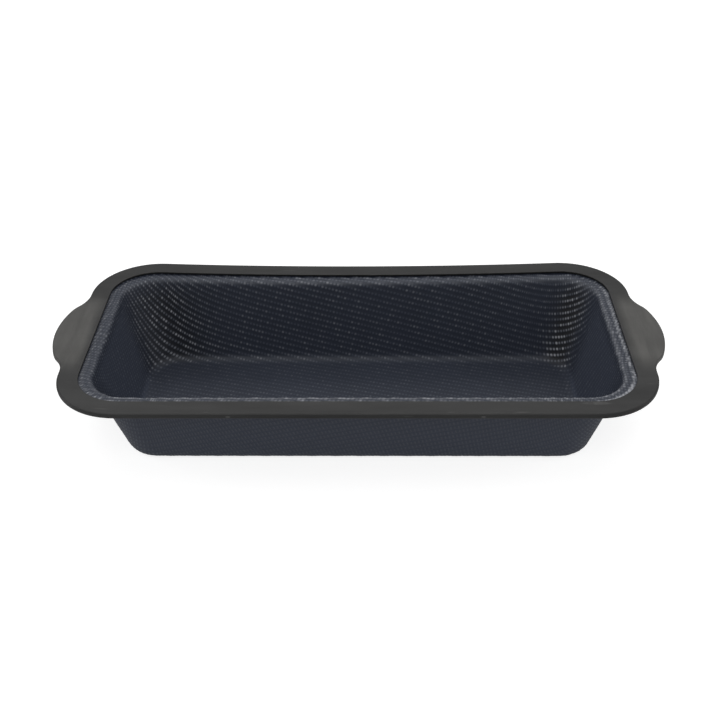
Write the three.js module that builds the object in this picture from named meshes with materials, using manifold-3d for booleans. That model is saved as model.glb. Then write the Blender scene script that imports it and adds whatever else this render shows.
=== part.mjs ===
// Loaf pan: a trough moulded from silicone-coated glass fabric, held in a silicone rim with two
// grip ears, and a steel wire hoop inside the rim. Millimetres, +X along the pan, +Y to the back,
// +Z up, origin on the base in the middle of the rim's outline.
import * as THREE from 'three';
import { ParametricGeometry } from 'three/addons/geometries/ParametricGeometry.js';
import { mergeVertices } from 'three/addons/utils/BufferGeometryUtils.js';
import Module from 'manifold-3d';

// Driving dimensions
const HEIGHT = 50.3;            // base to the rim's top face
const OPENING_LENGTH = 280;     // clear opening inside the rim
const OPENING_WIDTH = 127;
const OPENING_RADIUS = 24;      // corner of the opening
const BACK_BOW = 3.7;           // how far the back long side is bowed in at its middle

const RIM_WIDTH = 10.6;
const RIM_THICKNESS = 3;
const RIM_ROUNDING = 0.7;

const EAR_REACH = 161.4;        // from the middle of the pan to the tip of an ear
const EAR_RADIUS = 60;          // long arc at the tip
const EAR_HALF_ANGLE = THREE.MathUtils.degToRad(21);
const EAR_SHOULDER_RADIUS = 14; // tighter arc at each end of the long arc
const EAR_FILLET_RADIUS = 20;   // hollow arc into the rim's side

const FABRIC_THICKNESS = 0.9;
const FLANGE_DROP = 1.3;        // rim's top face down to the fabric's upper face
const FLANGE_GRIP = 3.5;        // how far the fabric reaches in under the rim
const BEND_RADIUS = 4.5;        // fabric turning from the flange into the wall, upper face
const WALL_TOP_INSET = 5;       // opening's edge to where the wall's line meets the flange
const FLOOR_LENGTH = 243.5;     // outside of the walls, carried down to the base
const FLOOR_WIDTH = 92;
const FLOOR_CORNER_RADIUS = 18;
const WALL_CORNER_RADIUS = 21;  // at the top of the walls
const FLOOR_FILLET = 6;         // outside fillet between wall and base

const WIRE_DIAMETER = 1.4;
const WIRE_FROM_OPENING = 6;    // wire's centre line, out from the opening's edge
const CLEARANCE = 0.3;          // between pieces that touch

// Facets
const CORNER_STEPS = 9;
const BOW_STEPS = 8;
const BEND_STEPS = 4;
const WIRE_SIDES = 8;
const ROUNDING_STEPS = 3;
const EAR_STEPS = 10;
const SHOULDER_STEPS = 3;
const HOLLOW_STEPS = 5;
const LEAST_BOW = 0.001;

// Heights
const RIM_BOTTOM = HEIGHT - RIM_THICKNESS;
const FLANGE_TOP = HEIGHT - FLANGE_DROP;
const FLANGE_BOTTOM = FLANGE_TOP - FABRIC_THICKNESS;
const WIRE_HEIGHT = HEIGHT - RIM_THICKNESS / 2;

const QUARTER = Math.PI / 2;

// Points on an arc, both ends included. A negative sweep runs clockwise.
function arcPoints(cx, cy, radius, start, sweep, steps) {
  const points = [];
  for (let i = 0; i <= steps; i += 1) {
    const angle = start + (sweep * i) / steps;
    points.push(new THREE.Vector2(cx + radius * Math.cos(angle), cy + radius * Math.sin(angle)));
  }
  return points;
}

// Joins runs of points into one loop, without a point twice where two runs meet.
function joinRuns(runs) {
  const loop = [];
  const near = 1e-6;
  for (const point of runs.flat()) {
    if (loop.length === 0 || loop[loop.length - 1].distanceTo(point) > near) {
      loop.push(point);
    }
  }
  if (loop[0].distanceTo(loop[loop.length - 1]) < near) {
    loop.pop();
  }
  return loop;
}

// The back long side: one shallow arc, tangent to both back corners, bowed in by `bow`. A straight
// side is bowed by next to nothing, so that every outline has the same number of points.
function backSide(halfLength, halfWidth, radius, bow) {
  const cornerX = halfLength - radius;
  const cornerY = halfWidth - radius;
  const lean = 2 * Math.atan(Math.max(bow, LEAST_BOW) / cornerX);
  const bowRadius = cornerX / Math.sin(lean) - radius;
  const bowY = cornerY + cornerX / Math.tan(lean);
  const right = arcPoints(cornerX, cornerY, radius, 0, QUARTER + lean, CORNER_STEPS);
  const left = right.map((point) => new THREE.Vector2(-point.x, point.y)).reverse();
  const middle = arcPoints(0, bowY, bowRadius, -QUARTER + lean, -2 * lean, BOW_STEPS);
  return [right, middle, left];
}

function frontCorner(halfLength, halfWidth, radius, side) {
  const start = side > 0 ? -QUARTER : 2 * QUARTER;
  return arcPoints(side * (halfLength - radius), radius - halfWidth, radius, start, QUARTER, CORNER_STEPS);
}

// A round-cornered rectangle, anticlockwise from the middle of the right-hand side.
function panOutline(halfLength, halfWidth, radius, bow) {
  return joinRuns([
    ...backSide(halfLength, halfWidth, radius, bow),
    frontCorner(halfLength, halfWidth, radius, -1),
    frontCorner(halfLength, halfWidth, radius, 1),
  ]);
}

// The opening's outline, grown outwards by `out`.
function openingOutline(out) {
  return panOutline(OPENING_LENGTH / 2 + out, OPENING_WIDTH / 2 + out, OPENING_RADIUS + out, BACK_BOW);
}

// The right-hand ear from front to back: hollow, shoulder, long arc, shoulder, hollow.
function earOutline(sideX) {
  const shoulderReach = EAR_RADIUS - EAR_SHOULDER_RADIUS;
  const centreX = EAR_REACH - EAR_RADIUS;
  const shoulderX = centreX + shoulderReach * Math.cos(EAR_HALF_ANGLE);
  const shoulderY = shoulderReach * Math.sin(EAR_HALF_ANGLE);
  const hollowX = sideX + EAR_FILLET_RADIUS;
  const span = EAR_FILLET_RADIUS + EAR_SHOULDER_RADIUS;
  const hollowY = shoulderY + Math.sqrt(span ** 2 - (hollowX - shoulderX) ** 2);
  const meet = Math.atan2(hollowY - shoulderY, hollowX - shoulderX);
  const tip = arcPoints(centreX, 0, EAR_RADIUS, 0, EAR_HALF_ANGLE, EAR_STEPS / 2);
  const shoulder = arcPoints(
    shoulderX, shoulderY, EAR_SHOULDER_RADIUS, EAR_HALF_ANGLE, meet - EAR_HALF_ANGLE, SHOULDER_STEPS);
  const hollow = arcPoints(
    hollowX, hollowY, EAR_FILLET_RADIUS, meet - Math.PI, -meet, HOLLOW_STEPS);
  const back = joinRuns([tip, shoulder, hollow]);
  const front = back.map((point) => new THREE.Vector2(point.x, -point.y)).reverse();
  return joinRuns([front, back]);
}

function rimOutline() {
  const halfLength = OPENING_LENGTH / 2 + RIM_WIDTH;
  const halfWidth = OPENING_WIDTH / 2 + RIM_WIDTH;
  const radius = OPENING_RADIUS + RIM_WIDTH;
  const rightEar = earOutline(halfLength);
  const leftEar = rightEar.map((point) => new THREE.Vector2(-point.x, -point.y));
  return joinRuns([
    rightEar,
    ...backSide(halfLength, halfWidth, radius, BACK_BOW),
    leftEar,
    frontCorner(halfLength, halfWidth, radius, -1),
    frontCorner(halfLength, halfWidth, radius, 1),
  ]);
}

// A flat ring between two outlines, from `bottom` to `top`.
function ringPlate(outer, inner, bottom, top, rounding = 0) {
  const shape = new THREE.Shape(outer);
  shape.holes.push(new THREE.Path(inner));
  const geometry = new THREE.ExtrudeGeometry(shape, {
    depth: top - bottom - 2 * rounding,
    bevelEnabled: rounding > 0,
    bevelThickness: rounding,
    bevelSize: rounding,
    bevelOffset: -rounding,
    bevelSegments: ROUNDING_STEPS,
  });
  geometry.translate(0, 0, bottom + rounding);
  return geometry;
}

const wasm = await Module();
wasm.setup();

function weld(geometry) {
  const bare = geometry.clone();
  bare.deleteAttribute('normal');
  bare.deleteAttribute('uv');
  return mergeVertices(bare, 1e-4);
}

function toManifold(geometry) {
  const merged = weld(geometry);
  return new wasm.Manifold(new wasm.Mesh({
    numProp: 3,
    vertProperties: new Float32Array(merged.attributes.position.array),
    triVerts: new Uint32Array(merged.index.array),
  }));
}

function fromManifold(solid) {
  const mesh = solid.getMesh();
  const geometry = new THREE.BufferGeometry();
  geometry.setAttribute('position', new THREE.BufferAttribute(mesh.vertProperties, 3));
  geometry.setIndex(new THREE.BufferAttribute(mesh.triVerts, 1));
  geometry.computeVertexNormals();
  return geometry;
}

// Skin through a list of rings, all with the same number of points. The last ring joins the first.
function skinRings(rings) {
  const around = rings[0].length;
  const point = (u, v, target) => {
    const ring = rings[Math.round(v * rings.length) % rings.length];
    target.copy(ring[Math.round(u * around) % around]);
  };
  const merged = weld(new ParametricGeometry(point, around, rings.length));
  const index = Array.from(merged.index.array);
  const kept = [];
  for (let i = 0; i < index.length; i += 3) {
    const [a, b, c] = index.slice(i, i + 3);
    if (a !== b && b !== c && c !== a) {
      kept.push(a, b, c);
    }
  }
  merged.setIndex(kept);
  merged.computeVertexNormals();
  return merged;
}

const atHeight = (outline, z) => outline.map((point) => new THREE.Vector3(point.x, point.y, z));

// The walls' outside at height z, moved in by `inset`, as one ring of points.
function wallRing(z, inset) {
  const share = z / FLANGE_TOP;
  const mix = THREE.MathUtils.lerp;
  const topLength = OPENING_LENGTH - 2 * WALL_TOP_INSET;
  const topWidth = OPENING_WIDTH - 2 * WALL_TOP_INSET;
  const halfLength = mix(FLOOR_LENGTH, topLength, share) / 2 - inset;
  const halfWidth = mix(FLOOR_WIDTH, topWidth, share) / 2 - inset;
  const radius = mix(FLOOR_CORNER_RADIUS, WALL_CORNER_RADIUS, share) - inset;
  return atHeight(panOutline(halfLength, halfWidth, radius, BACK_BOW * share), z);
}

// One face of the fabric, from the middle of the floor out to the flange's edge. `depth` is how
// far this face lies inside the outer one: 0 outside, the fabric's thickness inside.
function fabricFace(depth) {
  const wallSlope = Math.atan2((OPENING_LENGTH - FLOOR_LENGTH) / 2 - WALL_TOP_INSET, FLANGE_TOP);
  const wallDepth = depth / Math.cos(wallSlope);
  const turn = QUARTER - wallSlope;
  const fillet = FLOOR_FILLET - depth;
  const bend = BEND_RADIUS - FABRIC_THICKNESS + depth;
  const flange = FLANGE_BOTTOM + depth;
  const rings = [new Array(wallRing(0, 0).length).fill(new THREE.Vector3(0, 0, depth))];
  const tangent = fillet * Math.tan(turn / 2);
  for (let i = 0; i <= BEND_STEPS; i += 1) {
    const angle = (turn * i) / BEND_STEPS;
    const z = depth + fillet * (1 - Math.cos(angle));
    const fromEdge = tangent - fillet * Math.sin(angle);
    const drift = (z - depth) * Math.tan(wallSlope);
    rings.push(wallRing(z, wallDepth + fromEdge + drift));
  }
  const bendTangent = bend * Math.tan(turn / 2);
  for (let i = BEND_STEPS; i >= 0; i -= 1) {
    const angle = (turn * i) / BEND_STEPS;
    const z = flange - bend * (1 - Math.cos(angle));
    const beyond = bendTangent - bend * Math.sin(angle);
    const drift = (flange - z) * Math.tan(wallSlope);
    rings.push(wallRing(z, wallDepth - beyond - drift));
  }
  rings.push(atHeight(openingOutline(FLANGE_GRIP), flange));
  return rings;
}

function fabricTrough() {
  return skinRings([...fabricFace(0), ...fabricFace(FABRIC_THICKNESS).reverse()]);
}

function siliconeRim() {
  const body = toManifold(
    ringPlate(rimOutline(), openingOutline(0), RIM_BOTTOM, HEIGHT, RIM_ROUNDING));
  const slot = toManifold(ringPlate(
    openingOutline(WIRE_FROM_OPENING),
    openingOutline(-RIM_ROUNDING - CLEARANCE),
    FLANGE_BOTTOM - CLEARANCE,
    FLANGE_TOP + CLEARANCE));
  const halfChannel = WIRE_DIAMETER / 2 + CLEARANCE;
  const channel = toManifold(ringPlate(
    openingOutline(WIRE_FROM_OPENING + halfChannel),
    openingOutline(WIRE_FROM_OPENING - halfChannel),
    WIRE_HEIGHT - halfChannel,
    WIRE_HEIGHT + halfChannel));
  return fromManifold(body.subtract(slot).subtract(channel));
}

function wireHoop() {
  const rings = [];
  for (let i = 0; i < WIRE_SIDES; i += 1) {
    const angle = (2 * Math.PI * i) / WIRE_SIDES;
    const out = WIRE_FROM_OPENING + (WIRE_DIAMETER / 2) * Math.cos(angle);
    rings.push(atHeight(openingOutline(out), WIRE_HEIGHT + (WIRE_DIAMETER / 2) * Math.sin(angle)));
  }
  return skinRings(rings);
}

function piece(name, geometry, colour, roughness, metalness) {
  const material = new THREE.MeshStandardMaterial({ color: colour, roughness, metalness });
  const mesh = new THREE.Mesh(geometry, material);
  mesh.name = name;
  return mesh;
}

const pan = new THREE.Group();
pan.add(piece('fabric_trough', fabricTrough(), 0x2c2e36, 0.55, 0));
pan.add(piece('silicone_rim', siliconeRim(), 0x464646, 0.5, 0));
pan.add(piece('wire_hoop', wireHoop(), 0xb4b6b8, 0.3, 1));

export default pan;
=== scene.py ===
import math

import bpy
import numpy as np
from mathutils import Matrix, Vector


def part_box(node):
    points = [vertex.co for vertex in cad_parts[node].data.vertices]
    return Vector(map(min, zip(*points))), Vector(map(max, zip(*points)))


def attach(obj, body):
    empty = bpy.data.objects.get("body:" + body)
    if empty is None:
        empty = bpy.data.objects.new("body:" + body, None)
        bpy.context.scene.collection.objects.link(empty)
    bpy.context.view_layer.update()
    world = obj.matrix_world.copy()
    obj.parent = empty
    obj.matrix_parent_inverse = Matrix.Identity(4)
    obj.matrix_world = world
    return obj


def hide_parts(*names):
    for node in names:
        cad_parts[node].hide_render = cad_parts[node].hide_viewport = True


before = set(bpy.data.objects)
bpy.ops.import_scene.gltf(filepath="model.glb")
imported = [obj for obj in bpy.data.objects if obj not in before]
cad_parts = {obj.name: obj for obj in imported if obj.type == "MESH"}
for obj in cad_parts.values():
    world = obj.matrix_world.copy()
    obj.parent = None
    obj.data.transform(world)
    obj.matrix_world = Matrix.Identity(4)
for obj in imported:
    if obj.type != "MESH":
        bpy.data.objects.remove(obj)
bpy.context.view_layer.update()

MM = 0.001

# The frame gives where the pan is; these give how its rim and cloth are made.
RIM_WIDTH = 10.6 * MM
RIM_ROUNDING = 0.8 * MM
LIP_ROUNDING = 0.2 * MM
FLANGE_GRIP = 3.5 * MM
BACK_BOW = 3.7 * MM
OPENING_RADIUS = 24 * MM

EAR_RADIUS = 60 * MM
EAR_SHOULDER_RADIUS = 14 * MM
EAR_HOLLOW_RADIUS = 20 * MM
EAR_HALF_ANGLE = math.radians(21)

CLOTH_THICKNESS = 0.9 * MM
BEND_RADIUS = 3.2 * MM
WALL_TOP_INSET = 5 * MM
FLOOR_LENGTH = 243.5 * MM
FLOOR_WIDTH = 92 * MM
FLOOR_CORNER_RADIUS = 18 * MM
WALL_CORNER_RADIUS = 21 * MM
FLOOR_FILLET = 6 * MM
GROOVE_DEPTH = 0.45 * MM          # pressed into the flange, all round, inside the rim's lip
GROOVE_FROM_OPENING = 3.0 * MM
GROOVE_WIDTH = 1.5 * MM
LIP_ROLL = 0.70 * MM              # how far the cloth dips where it goes under the rim's lip
LIP_ROLL_INSET = 0.3 * MM         # the dip's middle, inside the opening
LIP_ROLL_WIDTH = 0.8 * MM

WARP_SPACING = 1.9 * MM
WEFT_SPACING = 3.4 * MM
WEAVE_RELIEF = 0.07 * MM
WEAVE_TILT = math.radians(16)     # the cloth's rows run this far off the pan's length
DRAW_END_REACH = 38 * MM          # how far the drawn threads lean, either side of a corner
DRAW_SIDE_REACH = 90 * MM
DRAW_END_POWER = 1.5              # how quickly the lean dies away towards an end's middle
BLANK_HALVINGS = 40               # steps of the search that finds a place on the blank
THREAD_SPREAD = 0.2               # how unevenly neighbouring threads stand
WEAVE_SEED = 7

# Where the crowns are painted pale, as distances in from the opening: bare glass where the
# coating has worn off beside the lip, mixed with painted highlight there, a painted highlight on
# the bend, and more of both at the front; the weights have no unit.
LIP_RUB_AND_SHEEN = 1.1
LIP_RUB_AND_SHEEN_INSET = 1.1 * MM
LIP_RUB_AND_SHEEN_WIDTH = 0.6 * MM
BEND_HIGHLIGHT = 0.35
BEND_HIGHLIGHT_INSET = 5.6 * MM
BEND_HIGHLIGHT_WIDTH = 1.1 * MM
FRONT_BEND_HIGHLIGHT = 2.6
FRONT_RUB_AND_SHEEN = 0.5
# the pale band, worn glass and painted highlight, is weaker at the left end
LEFT_END_DIMMER = 0.8

# Beside the corners, from a corner's middle towards the long wall; weights again. The cloth was
# drawn hard there, so its relief is deeper; its crowns also get painted glints, and its colour
# is darker.
LEFT_STRAIN_PLACE = 9.0 * MM
LEFT_STRAIN_WIDTH = 17.0 * MM
RIGHT_STRAIN_PLACE = 1.5 * MM
RIGHT_STRAIN_WIDTH = 5.5 * MM
RIGHT_STRAIN = 1.5
FRONT_STRAIN = 0.4
STRAIN_TOP_FADE = 13 * MM

END_WALL_MARGIN = 6 * MM          # kept clear of a corner, before the end wall's own look begins
END_WALL_FADE = 12 * MM
END_WALL_TOP_FADE = 4 * MM
END_WALL_FILL = 0.85

LIP_STEPS = 4                     # faces round the rim's inner lip, and round its outer edges
EDGE_STEPS = 6
END_STATIONS = 44                 # stations round a quarter of the rim: end, corner, long side
CORNER_STATIONS = 26
SIDE_STATIONS = 64
TOP_ROWS = 26
UNDER_ROWS = 8
SHARP_ANGLE = math.radians(50)
SEAM_HEIGHT = 0.09 * MM           # the parting line's ridge, round the rim's outer edge

RIDGE_HEIGHT = 0.12 * MM          # the faint ridge where an ear joins the rim's end
RIDGE_WIDTH = 0.9 * MM
RIDGE_HALF_LENGTH = 36 * MM
EAR_FALL = math.radians(0.8)
TOP_TOLERANCE = 0.02 * MM

EAR_SHEEN_START = 139 * MM             # the painted sheen on an ear: along the pan, and across it
EAR_SHEEN_FADE_IN = 7 * MM
EAR_SHEEN_HALF_WIDTH = 42 * MM
EAR_SHEEN_FADE_OUT = 20 * MM

HOOP_FROM_OPENING = 6 * MM
WIRE_SHARE = 0.98                 # the drawn wire's radius, as a share of the CAD's
WELD_SWELL = 0.08                 # how much thicker the wire is at its butt weld
EULER = 2.718                     # base of the weld's bell-shaped swelling
SLOT_GAP = 0.12 * MM
MOUTH_DROP = 0.3 * MM             # the slot's lower lip falls away to let the cloth roll in
MOUTH_DEPTH = 1.5 * MM

QUARTER = math.pi / 2

rim_low, rim_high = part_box("silicone_rim")
cloth_low, cloth_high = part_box("fabric_trough")
hoop_low, hoop_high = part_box("wire_hoop")

OPENING_HALF_LENGTH = cloth_high.x - FLANGE_GRIP
OPENING_HALF_WIDTH = -cloth_low.y - FLANGE_GRIP
EAR_REACH = rim_high.x
RIM_TOP = rim_high.z
RIM_BOTTOM = rim_low.z
FLANGE_TOP = cloth_high.z
HOOP_RADIUS = (hoop_high.z - hoop_low.z) / 2
HOOP_HEIGHT = (hoop_high.z + hoop_low.z) / 2


# ---------------------------------------------------------------- camera

CAMERA_LENS = 55
SENSOR_WIDTH = 36
CAMERA_PITCH = math.radians(34.02)
CAMERA_YAW = math.radians(-1.15)
CAMERA_ROLL = math.radians(-0.68)
CAMERA_DISTANCE = 584.6 * MM
CAMERA_AIM = Vector((1.0 * MM, -8.8 * MM, RIM_TOP - 13.0 * MM))


def make_camera():
    data = bpy.data.cameras.new("camera")
    data.lens = CAMERA_LENS
    data.sensor_width = SENSOR_WIDTH
    data.clip_start = 0.01
    camera = bpy.data.objects.new("camera", data)
    bpy.context.scene.collection.objects.link(camera)
    turn = Matrix.Rotation(-CAMERA_YAW, 3, "Z")
    ahead = turn @ Vector((0, math.cos(CAMERA_PITCH), -math.sin(CAMERA_PITCH)))
    right = turn @ Vector((1, 0, 0))
    up = right.cross(ahead)
    cos_roll = math.cos(CAMERA_ROLL)
    sin_roll = math.sin(CAMERA_ROLL)
    rolled_right = cos_roll * right + sin_roll * up
    rolled_up = cos_roll * up - sin_roll * right
    place = turn @ CAMERA_AIM - CAMERA_DISTANCE * ahead
    facing = Matrix((rolled_right, rolled_up, -ahead)).transposed()
    camera.matrix_world = Matrix.Translation(place) @ facing.to_4x4()
    bpy.context.scene.camera = camera


# ---------------------------------------------------------------- outlines

def arc(centre_x, centre_y, radius, angle):
    return np.stack([centre_x + radius * np.cos(angle), centre_y + radius * np.sin(angle)], -1)


def quarter_outline(part, share, half_length, half_width, radius, bow):
    """Points on one quarter of a pan outline, in its first quadrant.

    part 0 runs up the end from its middle, part 1 round the corner, and part 2 along the long
    side to its middle; share is how far along that part. A bow pulls the long side's middle in.
    """
    corner_x = half_length - radius
    corner_y = half_width - radius
    lean = 2 * np.arctan(np.maximum(bow, 1e-7) / corner_x)
    bow_radius = corner_x / np.sin(lean) - radius
    end = np.stack([half_length + 0 * share, corner_y * share], -1)
    corner = arc(corner_x, corner_y, radius, (QUARTER + lean) * share)
    across = lean * (1 - share)
    depth = bow_radius * (np.cos(across) - np.cos(lean))
    side = np.stack([bow_radius * np.sin(across), half_width - depth], -1)
    side[..., 1] += radius * (np.cos(lean) - 1)
    return np.select([part[:, None] == 0, part[:, None] == 1], [end, corner], side)


def ear_quarter(share, side_x, side_y):
    """The grip ear's edge, from its tip to where the end's straight side stops."""
    centre_x = EAR_REACH - EAR_RADIUS
    reach = EAR_RADIUS - EAR_SHOULDER_RADIUS
    shoulder_x = centre_x + reach * math.cos(EAR_HALF_ANGLE)
    shoulder_y = reach * math.sin(EAR_HALF_ANGLE)
    hollow_x = side_x + EAR_HOLLOW_RADIUS
    span = EAR_HOLLOW_RADIUS + EAR_SHOULDER_RADIUS
    hollow_y = shoulder_y + math.sqrt(span**2 - (hollow_x - shoulder_x) ** 2)
    meet = math.atan2(hollow_y - shoulder_y, hollow_x - shoulder_x)
    runs = [EAR_RADIUS * EAR_HALF_ANGLE, EAR_SHOULDER_RADIUS * (meet - EAR_HALF_ANGLE),
            EAR_HOLLOW_RADIUS * meet, side_y - hollow_y]
    ends = np.cumsum(runs)
    along = share * ends[-1]
    tip = arc(centre_x, 0, EAR_RADIUS, along / EAR_RADIUS)
    turned = EAR_HALF_ANGLE + (along - ends[0]) / EAR_SHOULDER_RADIUS
    shoulder = arc(shoulder_x, shoulder_y, EAR_SHOULDER_RADIUS, turned)
    turned = meet - math.pi - (along - ends[1]) / EAR_HOLLOW_RADIUS
    hollow = arc(hollow_x, hollow_y, EAR_HOLLOW_RADIUS, turned)
    straight = np.stack([side_x + 0 * along, hollow_y + along - ends[2]], -1)
    which = [(along < ends[0])[:, None], (along < ends[1])[:, None], (along < ends[2])[:, None]]
    return np.select(which, [tip, shoulder, hollow], straight)


# ---------------------------------------------------------------- cloth trough

WALL_LEAN = math.atan2(OPENING_HALF_LENGTH - FLOOR_LENGTH / 2 - WALL_TOP_INSET, FLANGE_TOP)
TURN = QUARTER - WALL_LEAN
WALL_DEPTH = CLOTH_THICKNESS / math.cos(WALL_LEAN)
FILLET = FLOOR_FILLET - CLOTH_THICKNESS
FILLET_TANGENT = FILLET * math.tan(TURN / 2)
BEND_TANGENT = BEND_RADIUS * math.tan(TURN / 2)
FILLET_RUN = FILLET * TURN
BEND_RUN = BEND_RADIUS * TURN
WALL_FOOT = CLOTH_THICKNESS + FILLET * (1 - math.cos(TURN))
WALL_HEAD = FLANGE_TOP - BEND_RADIUS * (1 - math.cos(TURN))
WALL_RUN = (WALL_HEAD - WALL_FOOT) / math.cos(WALL_LEAN)
FLANGE_RUN = FLANGE_GRIP + WALL_TOP_INSET + WALL_DEPTH - BEND_TANGENT
RUN_TO_BEND = FILLET_RUN + WALL_RUN
RUN_TO_FLANGE = RUN_TO_BEND + BEND_RUN
CLOTH_RUN = RUN_TO_FLANGE + FLANGE_RUN

# The flat part of the floor
FLAT_INSET = WALL_DEPTH + FILLET_TANGENT
FLAT_X = FLOOR_LENGTH / 2 - FLAT_INSET
FLAT_Y = FLOOR_WIDTH / 2 - FLAT_INSET
FLAT_RADIUS = FLOOR_CORNER_RADIUS - FLAT_INSET
END_RUN = FLAT_Y - FLAT_RADIUS
CORNER_RUN = FLAT_RADIUS * QUARTER
SIDE_RUN = FLAT_X - FLAT_RADIUS
CORNER_MIDDLE = END_RUN + CORNER_RUN / 2


def split_run(run):
    """Distance along the flat floor's quarter outline, as a part and a share of that part."""
    part = (run > END_RUN).astype(int) + (run > END_RUN + CORNER_RUN)
    share = np.select(
        [part == 0, part == 1],
        [run / END_RUN, (run - END_RUN) / CORNER_RUN],
        (run - END_RUN - CORNER_RUN) / SIDE_RUN)
    return part, np.clip(share, 0, 1)


def flat_edge(run):
    part, share = split_run(run)
    return quarter_outline(part, share, FLAT_X, FLAT_Y, FLAT_RADIUS, 0.0)


def draw_direction(run):
    """Which way the blank lay, out from the floor, before it was drawn up into the wall here."""
    to_end = np.clip((run - CORNER_MIDDLE + DRAW_END_REACH) / DRAW_END_REACH, 0, 1)
    to_side = np.clip((CORNER_MIDDLE + DRAW_SIDE_REACH - run) / DRAW_SIDE_REACH, 0, 1)
    side_power = DRAW_END_POWER * DRAW_SIDE_REACH / DRAW_END_REACH
    near_end = 0.5 * to_end**DRAW_END_POWER
    near_side = 1 - 0.5 * to_side**side_power
    angle = QUARTER * np.where(run < CORNER_MIDDLE, near_end, near_side)
    return np.stack([np.cos(angle), np.sin(angle)], -1)


def find_on_blank(blank):
    """For points of the flat blank in its first quadrant: distance along the floor's edge, and
    distance out from it."""
    low = np.zeros(len(blank))
    high = np.full(len(blank), END_RUN + CORNER_RUN + SIDE_RUN)
    for _ in range(BLANK_HALVINGS):
        middle = (low + high) / 2
        out = draw_direction(middle)
        gap = blank - flat_edge(middle)
        ahead = out[:, 0] * gap[:, 1] - out[:, 1] * gap[:, 0] > 0
        low = np.where(ahead, middle, low)
        high = np.where(ahead, high, middle)
    run = (low + high) / 2
    out = np.einsum("ij,ij->i", blank - flat_edge(run), draw_direction(run))
    core = np.maximum(blank - np.array([FLAT_X - FLAT_RADIUS, FLAT_Y - FLAT_RADIUS]), 0)
    return run, np.where(np.hypot(core[:, 0], core[:, 1]) <= FLAT_RADIUS, 0, np.maximum(out, 0))


def formed_point(run, out, back):
    """The cloth's upper face in the trough, at a place found on the blank. back is true behind
    the pan's middle, where the long side is bowed."""
    in_fillet = out < FILLET_RUN
    in_wall = (out >= FILLET_RUN) & (out < RUN_TO_BEND)
    in_bend = (out >= RUN_TO_BEND) & (out < RUN_TO_FLANGE)
    angle = np.where(in_fillet, out / FILLET, (RUN_TO_FLANGE - out) / BEND_RADIUS)
    height = np.select(
        [in_fillet, in_wall, in_bend],
        [CLOTH_THICKNESS + FILLET * (1 - np.cos(angle)),
         WALL_FOOT + (out - FILLET_RUN) * math.cos(WALL_LEAN),
         FLANGE_TOP - BEND_RADIUS * (1 - np.cos(angle))],
        FLANGE_TOP)
    fillet_inset = (FILLET_TANGENT - FILLET * np.sin(angle)
                    + (height - CLOTH_THICKNESS) * math.tan(WALL_LEAN))
    bend_inset = (BEND_RADIUS * np.sin(angle) - BEND_TANGENT
                  - (FLANGE_TOP - height) * math.tan(WALL_LEAN))
    inset = WALL_DEPTH + np.select(
        [in_fillet, in_wall, in_bend], [fillet_inset, 0, bend_inset], -BEND_TANGENT)
    share = height / FLANGE_TOP
    top_x = OPENING_HALF_LENGTH - WALL_TOP_INSET
    top_y = OPENING_HALF_WIDTH - WALL_TOP_INSET
    half_length = FLOOR_LENGTH / 2 + (top_x - FLOOR_LENGTH / 2) * share - inset
    half_width = FLOOR_WIDTH / 2 + (top_y - FLOOR_WIDTH / 2) * share - inset
    radius = FLOOR_CORNER_RADIUS + (WALL_CORNER_RADIUS - FLOOR_CORNER_RADIUS) * share - inset
    flange = np.clip((out - RUN_TO_FLANGE) / FLANGE_RUN, 0, 1)
    half_length += (OPENING_HALF_LENGTH + FLANGE_GRIP - half_length) * flange
    half_width += (OPENING_HALF_WIDTH + FLANGE_GRIP - half_width) * flange
    radius += (OPENING_RADIUS + FLANGE_GRIP - radius) * flange
    bow = BACK_BOW * (height - CLOTH_THICKNESS) / (FLANGE_TOP - CLOTH_THICKNESS) * back
    part, along = split_run(run)
    plan = quarter_outline(part, along, half_length, half_width, radius, bow)
    to_opening = CLOTH_RUN - FLANGE_GRIP - out
    groove = GROOVE_DEPTH * np.exp(-((to_opening - GROOVE_FROM_OPENING) / GROOVE_WIDTH) ** 2)
    roll = LIP_ROLL * np.exp(-((to_opening - LIP_ROLL_INSET) / LIP_ROLL_WIDTH) ** 2)
    return np.column_stack([plan, height - groove - roll])


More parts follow.
